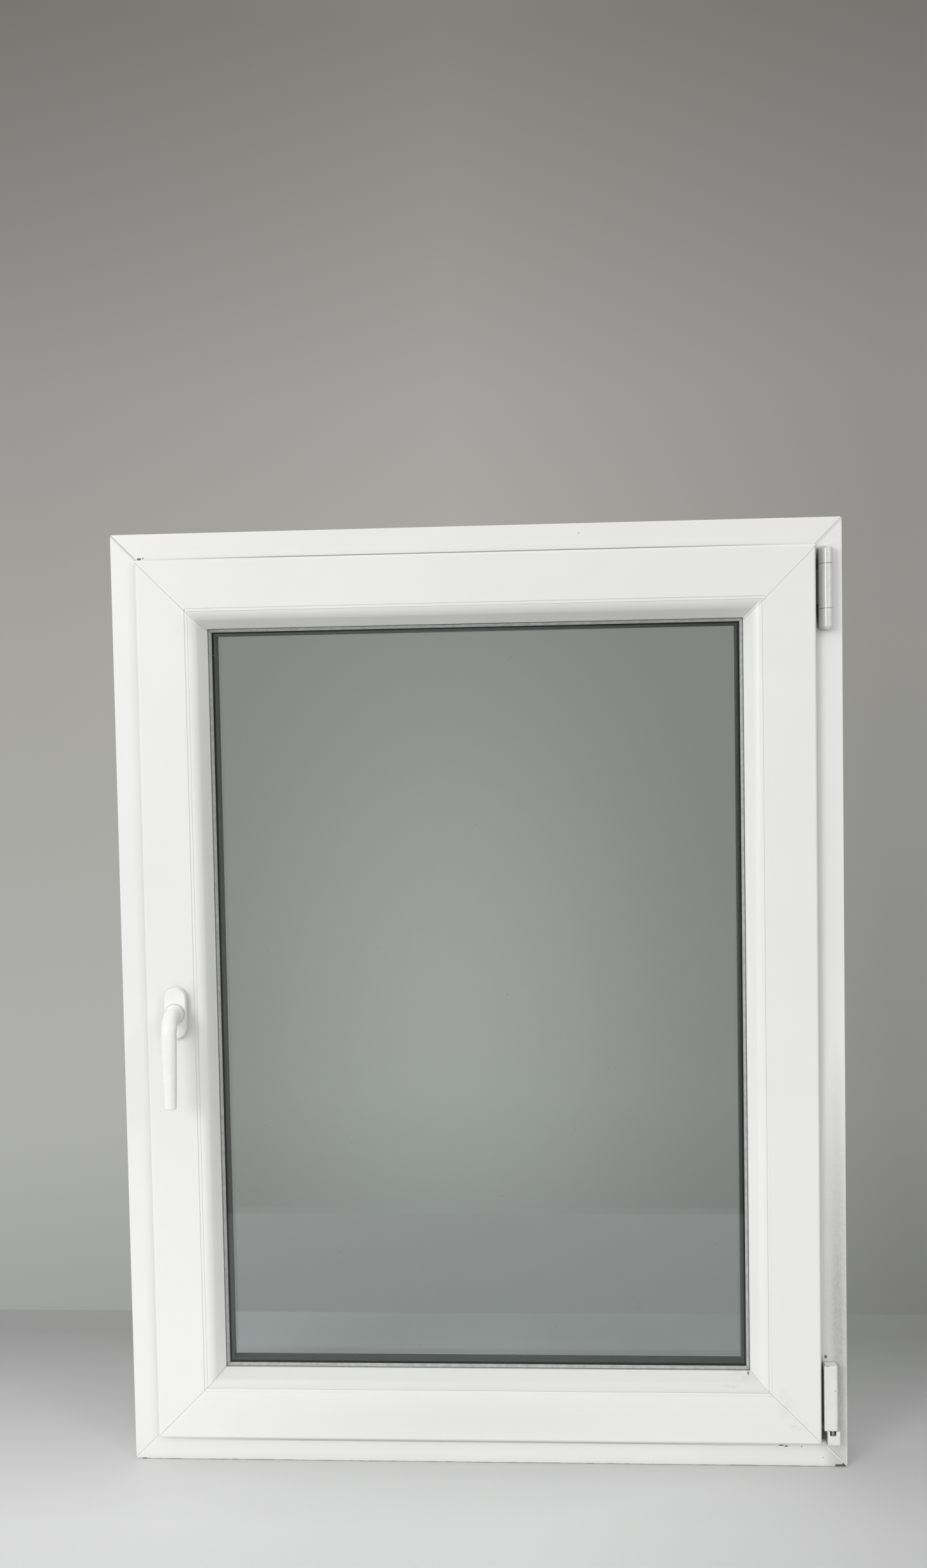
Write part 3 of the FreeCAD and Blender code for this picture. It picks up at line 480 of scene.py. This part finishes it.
def float_glass():
    """Float glass: clear with a faint green cast, a few dust specks, and lit through."""
    material, output = new_material("float_glass")
    dots = add_node(material, "TexVoronoi", {"Vector": object_point(material), "Scale": 22.0})
    dust = ranged(material, dots.outputs["Distance"], 0.030, 0.020)
    smear = ranged(material, speckle(material, 260.0, (1, 1, 1), 4.0), 0.45, 0.75, 0.0, 0.02)
    gloss = combined(material, "ADD", combined(material, "MULTIPLY", dust, 0.35), smear)
    tint = mixed(material, dust, linear("#F4F8F8"), linear("#DCDFDE"))
    glass = add_node(material, "BsdfPrincipled", {
        "Base Color": tint, "Roughness": gloss, "IOR": 1.52, "Transmission Weight": 1.0})
    lit_through = add_node(material, "BsdfTransparent", {"Color": linear("#F4F7F4")})
    lamps = add_node(material, "LightPath").outputs["Is Shadow Ray"]
    both = add_node(material, "MixShader", {0: lamps, 1: glass.outputs[0], 2: lit_through.outputs[0]})
    material.node_tree.links.new(both.outputs[0], output.inputs["Surface"])
    return material


# Float glass is clear and sharp, green only through its thickness
pane_glass = float_glass()


# Frame, sash and glazing beads

# A long round of a profile: how long its edges are, how they turn (radians), and how wide the faces
# beside one have to be for a finer round
LONG_EDGE = 300 * MM
ROUND_TURN = (0.25, 1.0)
ROUND_ROOM = 1.7 * MM
FINER_ROUND = 0.75 * MM
# Sharpest turn in degrees that is still shaded as a round
BAR_SHADING = 50
SEAM_SHADING = 40
HINGE_SHADING = 35
ROSETTE_SHADING = 50
LEVER_SHADING = 48


def has_room(edge, width):
    """True if the faces on both sides of an edge are wider than this."""
    return min(face.calc_area() for face in edge.link_faces) / edge.calc_length() > width


def finished_bar(node, finish):
    """A mitred profile bar: its long rounds made finer, and its edges shaded soft."""
    piece = traced(node, node + "_profile")
    edit(piece)
    pick_edges(piece, lambda e: e.is_manifold and e.calc_length() > LONG_EDGE
               and ROUND_TURN[0] < e.calc_face_angle() < ROUND_TURN[1] and has_room(e, ROUND_ROOM))
    bpy.ops.mesh.bevel(offset=FINER_ROUND, segments=2, affect="EDGES", clamp_overlap=True)
    done()
    smooth(piece, BAR_SHADING)
    dress(piece, finish)
    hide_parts(node)


for node in ("frame_sill", "frame_head", "sash_bottom_rail", "sash_top_rail"):
    finished_bar(node, pvc_rails)
for node in ("bead_bottom", "bead_top"):
    finished_bar(node, shaded_pvc_bead_rails)
for node in ("frame_jamb_left", "frame_jamb_right", "sash_left_stile", "sash_right_stile",
             "bead_left", "bead_right"):
    finished_bar(node, pvc_stiles)


# Welds: the scraped seam that fills each mitre's groove nearly to the face. The frame's starts
# near the outer corner and runs under the sash; the sash's stops short of the bead.
SEAM_THICKNESS = 0.6 * MM
SEAM_ROUND = 0.15 * MM
FRAME_SEAM_INSET = 1.2 * MM
FRAME_SEAM_UNDER_SASH = 8 * MM
FRAME_SEAM_WIDTH = 1.1 * MM
FRAME_SEAM_SUNK = 0.22 * MM
SASH_SEAM_INSET = 3.0 * MM
SASH_SEAM_SHORT = 5.0 * MM
SASH_SEAM_WIDTH = 1.5 * MM
SASH_SEAM_SUNK = 0.12 * MM
SASH_SEAM_ASIDE = 0.25 * MM


def mitre_seam(name, corner_x, corner_z, run, width, face_y, aside=0.0):
    """A flat strip along one mitre with rounded edges, set aside by a little towards the rail."""
    deselect()
    bpy.ops.mesh.primitive_cube_add(size=1.0, location=(0, 0, 0))
    piece = bpy.context.object
    piece.name = name
    piece.scale = (run, SEAM_THICKNESS, width)
    inwards_x, inwards_z = (-1 if corner_x > 0 else 1), (-1 if corner_z > HEIGHT / 2 else 1)
    piece.rotation_euler = (0, -math.radians(45) * inwards_x * inwards_z, 0)
    half = run / 2 / math.sqrt(2)
    sideways = aside / math.sqrt(2)
    piece.location = (corner_x + inwards_x * (half + sideways), face_y + SEAM_THICKNESS / 2,
                      corner_z + inwards_z * (half - sideways))
    placed(piece)
    applied(piece, "BEVEL", width=SEAM_ROUND, segments=2)
    smooth(piece, SEAM_SHADING)
    dress(piece, scraped_weld)


SASH_LOW, SASH_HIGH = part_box("sash_right_stile")
SASH_HALF, SASH_FOOT, SASH_TOP = SASH_HIGH.x, SASH_LOW.z, SASH_HIGH.z
FRAME_SEAM_RUN = (HALF_WIDTH - SASH_HALF) * math.sqrt(2)
SASH_SEAM_RUN = (SASH_HALF - BEAD_EDGE) * math.sqrt(2)
ENDS = (("foot", 0.0, SASH_FOOT, 1), ("top", HEIGHT, SASH_TOP, -1))
for side_name, side in (("left", -1), ("right", 1)):
    for end_name, frame_end, sash_end, step in ENDS:
        mitre_seam(f"frame_weld_{end_name}_{side_name}", side * (HALF_WIDTH - FRAME_SEAM_INSET),
                   frame_end + step * FRAME_SEAM_INSET, FRAME_SEAM_RUN + FRAME_SEAM_UNDER_SASH,
                   FRAME_SEAM_WIDTH, ROOM_Y + FRAME_SEAM_SUNK)
        mitre_seam(f"sash_weld_{end_name}_{side_name}", side * (SASH_HALF - SASH_SEAM_INSET),
                   sash_end + step * SASH_SEAM_INSET, SASH_SEAM_RUN - SASH_SEAM_SHORT,
                   SASH_SEAM_WIDTH, FACE_Y + SASH_SEAM_SUNK, SASH_SEAM_ASIDE)


# Hinges and rosette

def finished_casting(node, finish, angle):
    """A small part whose rounds are already fine: one skin, shaded smooth."""
    piece = traced(node, node + "_casting")
    smooth(piece, angle)
    dress(piece, finish)
    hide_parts(node)


for node in ("top_hinge_upper_knuckle", "top_hinge_sleeve", "top_hinge_lower_knuckle"):
    finished_casting(node, hinge_coat, HINGE_SHADING)
for node in ("bottom_hinge_cover", "bottom_hinge_bearing"):
    finished_casting(node, cover_plastic, HINGE_SHADING)
finished_casting("handle_rosette", handle_coat, ROSETTE_SHADING)


# Handle lever

# Which neighbouring triangles make a quad and which edges are rims, in degrees
QUAD_FOLD, QUAD_SKEW = 40, 60
RIM_TURN = 42
RIM_CREASE = 0.9


def smooth_lever():
    """The lever's loft in quads, its rims creased, divided once so its outline runs smoothly."""
    piece = traced("handle_lever", "handle_lever_grip", join_flats=False)
    edit(piece)
    bpy.ops.mesh.select_all(action="SELECT")
    bpy.ops.mesh.tris_convert_to_quads(
        face_threshold=math.radians(QUAD_FOLD), shape_threshold=math.radians(QUAD_SKEW))
    pick_edges(piece, lambda e: e.is_manifold and e.calc_face_angle() > math.radians(RIM_TURN))
    bpy.ops.transform.edge_crease(value=RIM_CREASE)
    done()
    applied(piece, "SUBSURF", levels=1)
    smooth(piece, LEVER_SHADING)
    dress(piece, handle_coat)
    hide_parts("handle_lever")


smooth_lever()

# Everything else keeps its solid and gets its finish
FINISHES = {
    "glazing_gasket": gasket_rubber,
    "outer_glazing_gasket": seal_rubber,
    "sash_seal": seal_rubber,
    "frame_seal": seal_rubber,
    "spacer_bar": spacer_foil,
    "edge_sealant": edge_sealant,
    "setting_blocks": block_plastic,
    "inner_pane": pane_glass,
    "outer_pane": pane_glass,
    "top_hinge_pin": pin_steel,
    "bottom_hinge_pin": pin_steel,
    "handle_spindle": pin_steel,
    "drain_caps": pvc_rails,
    "locking_strip": pin_steel,
    "locking_cams": pin_steel,
    "strikers": pin_steel,
    "butyl_seals": edge_sealant,
}
for node, finish in FINISHES.items():
    nodes[node].data.materials.clear()
    nodes[node].data.materials.append(finish)


# Floor, backdrop and lights
FLOOR_FRONT = -1.02
FLOOR_BACK = 0.473
FLOOR_HALF = 2.6
FLOOR_BELOW = 0.2 * MM
# Painted shade darkens the paper between these places: towards the wall, towards the right end,
# and most where the two meet, where it stands for the window's shadow
WALL_FADE = (-0.20, 0.38)
RIGHT_FADE = (0.05, 1.00, 0.0, 0.80)
CORNER_FADE = (-0.35, 0.75, 0.0, 0.60)


def floor_paper():
    """Matt paper: pale grey with a soft fibre, with painted shade darker towards the wall and the right end,
    and a painted shadow of the window in their corner.
    """
    material, output = new_material("floor_paper")
    fibre = speckle(material, 1.5, (1, 1, 1), 4.0)
    fibre = ranged(material, fibre, 0.3, 0.7)
    near_paper = mixed(material, fibre, linear("#E9EAEA"), linear("#EEEFEE"))
    shaded_far_paper = mixed(material, fibre, linear("#A6A7A6"), linear("#ACADAC"))
    place = add_node(material, "SeparateXYZ", {0: object_point(material)}).outputs
    back = ranged(material, place["Y"], *WALL_FADE)
    right_end = ranged(material, place["X"], *RIGHT_FADE)
    colour = mixed(material, combined(material, "MAXIMUM", back, right_end), near_paper, shaded_far_paper)
    # Painted shadow of the window where the wall side and the right end meet
    corner = combined(material, "MULTIPLY", back, ranged(material, place["X"], *CORNER_FADE))
    colour = mixed(material, corner, colour, linear("#7E7F7E"))
    return surfaced(material, output, {"Base Color": colour, "Roughness": 0.7})


deselect()
bpy.ops.mesh.primitive_plane_add(size=1.0, location=(0, (FLOOR_FRONT + FLOOR_BACK) / 2, -FLOOR_BELOW))
floor = bpy.context.object
floor.name = "floor_paper"
floor.scale = (2 * FLOOR_HALF, FLOOR_BACK - FLOOR_FRONT, 1)
placed(floor)
floor.data.materials.append(floor_paper())

# The backdrop is the world, with painted light and shade: mid grey, lightest at mid height on the
# left, darker towards the top and the foot, and darker down the right side as the window's painted shadow.
# As a lamp it is brightest towards the window light at the front left, dim below the floor line
# and softer behind.
LIGHT_FROM = Vector((-0.42, -0.80, 0.43))
FILL_DIM, FILL_BRIGHT = 0.03, 1.04
FLOOR_SHARE = 0.35
REAR_FILL = 0.42
# Headings between which each light or shade fades: low and high, and its strength at either
BAND = (-0.42, 0.42)
LEFT_WALL = (-0.25, 0.42, 1.13, 0.88)
# The right side of the backdrop is darker, most low down: painted shadow of the window
RIGHT_WALL = (-0.36, 0.25, 0.63, 0.86)
MIDDLE_WALL = 1.12
LEFT_EDGE, MIDDLE, RIGHT_EDGE = -0.33, -0.06, 0.22
# Seen through the glass the backdrop is darker: painted shadow of the window on the wall behind it
THROUGH_GLASS = (-0.22, 0.18, 0.73, 0.70)
HORIZON = (-0.30, 0.05)
REAR = (0.05, 0.60)
# The glow is what the glass and the glossy fittings mirror, ahead of them and a little low
GLOW_HEADING = Vector((-0.07, -0.977, -0.20))
GLOW_REACH = Vector((0.22, 0.60, 0.38))
GLOW = 2.0
world = bpy.data.worlds.new("studio")
bpy.context.scene.world = world
world.use_nodes = True
world.node_tree.nodes.clear()
heading = add_node(world, "TexCoord").outputs["Generated"]
heading_parts = add_node(world, "SeparateXYZ", {0: heading}).outputs
band = add_node(world, "ValToRGB", {0: ranged(world, heading_parts["Z"], *BAND)})
stops = band.color_ramp.elements
stops[0].position, stops[0].color = 0.0, linear("#8F918F")
stops[1].position, stops[1].color = 1.0, linear("#7E7C77")
for position, tone in ((0.20, "#A6A7A3"), (0.55, "#A5A49F"), (0.75, "#9D9B97")):
    stop = stops.new(position)
    stop.color = linear(tone)
path = add_node(world, "LightPath")
left_wall = ranged(world, heading_parts["Z"], *LEFT_WALL)
right_wall = ranged(world, heading_parts["Z"], *RIGHT_WALL)
open_side = add_node(world, "Mix", {
    0: ranged(world, heading_parts["X"], MIDDLE, LEFT_EDGE), 2: MIDDLE_WALL, 3: left_wall}).outputs[0]
open_side = add_node(world, "Mix", {
    0: ranged(world, heading_parts["X"], MIDDLE, RIGHT_EDGE), 2: open_side, 3: right_wall}).outputs[0]
through_glass = ranged(world, heading_parts["X"], *THROUGH_GLASS)
sideways = add_node(world, "Mix", {
    0: path.outputs["Is Transmission Ray"], 2: open_side, 3: through_glass}).outputs[0]
from_glow = add_node(world, "VectorMath", {0: heading, 1: GLOW_HEADING}, operation="SUBTRACT")
from_glow = add_node(world, "VectorMath", {0: from_glow.outputs[0], 1: GLOW_REACH}, operation="DIVIDE")
from_glow = add_node(world, "VectorMath", {0: from_glow.outputs[0]}, operation="LENGTH")
glow = add_node(world, "MapRange", {
    "Value": from_glow.outputs["Value"], "From Min": 1.0, "From Max": 0.0, "To Max": GLOW},
    interpolation_type="SMOOTHSTEP").outputs["Result"]
reflected = combined(world, "MINIMUM", path.outputs["Glossy Depth"], 1.0)
glow = combined(world, "MULTIPLY", glow, reflected)
backdrop = add_node(world, "Background", {
    "Color": band.outputs[0], "Strength": combined(world, "ADD", sideways, glow)})
facing = add_node(world, "VectorMath", {0: heading, 1: LIGHT_FROM}, operation="DOT_PRODUCT")
window_light = ranged(world, facing.outputs["Value"], -1.0, 1.0, FILL_DIM, FILL_BRIGHT)
above_floor = ranged(world, heading_parts["Z"], *HORIZON, FLOOR_SHARE, 1.0)
rear_light = ranged(world, heading_parts["Y"], *REAR, 0.0, REAR_FILL)
front_light = combined(world, "MULTIPLY", window_light, above_floor)
fill = add_node(world, "Background", {
    "Color": linear("#FFFFFF"), "Strength": combined(world, "MAXIMUM", front_light, rear_light)})
seen = combined(world, "MAXIMUM", path.outputs["Is Camera Ray"], path.outputs["Is Transmission Ray"])
seen = combined(world, "MAXIMUM", seen, path.outputs["Is Glossy Ray"])
sky = add_node(world, "MixShader", {0: seen, 1: fill.outputs[0], 2: backdrop.outputs[0]})
add_node(world, "OutputWorld", {"Surface": sky.outputs[0]})


def softbox(name, place, target, width, height, power):
    """A rectangular studio lamp aimed at a point."""
    lamp = bpy.data.lights.new(name, "AREA")
    lamp.shape = "RECTANGLE"
    lamp.size, lamp.size_y = width, height
    lamp.energy = power
    holder = bpy.data.objects.new(name, lamp)
    bpy.context.scene.collection.objects.link(holder)
    holder.location = place
    holder.rotation_euler = (Vector(target) - Vector(place)).to_track_quat("-Z", "Y").to_euler()


# Name, place, target, width and height in metres, and watts
softbox("key_softbox", (-2.4, -3.4, 1.9), (0, 0, 0.6), 1.5, 1.7, 49)
softbox("right_strip", (1.7, -2.0, 1.9), (0.35, 0, 1.15), 0.14, 1.4, 6.0)

# Camera
turn = (Matrix.Rotation(CAMERA_YAW, 3, "Z") @ Matrix.Rotation(CAMERA_PITCH, 3, "X")
        @ Matrix.Rotation(CAMERA_ROLL, 3, "Y"))
right, ahead, up = turn.col[0], turn.col[1], turn.col[2]
lens = bpy.data.cameras.new("camera")
lens.sensor_width = SENSOR
lens.lens = FOCAL_PIXELS / IMAGE_HEIGHT * SENSOR
camera = bpy.data.objects.new("camera", lens)
bpy.context.scene.collection.objects.link(camera)
camera.matrix_world = Matrix.Translation(CAMERA_PLACE) @ Matrix((right, up, -ahead)).transposed().to_4x4()
bpy.context.scene.camera = camera
bpy.context.scene.view_settings.view_transform = "Standard"
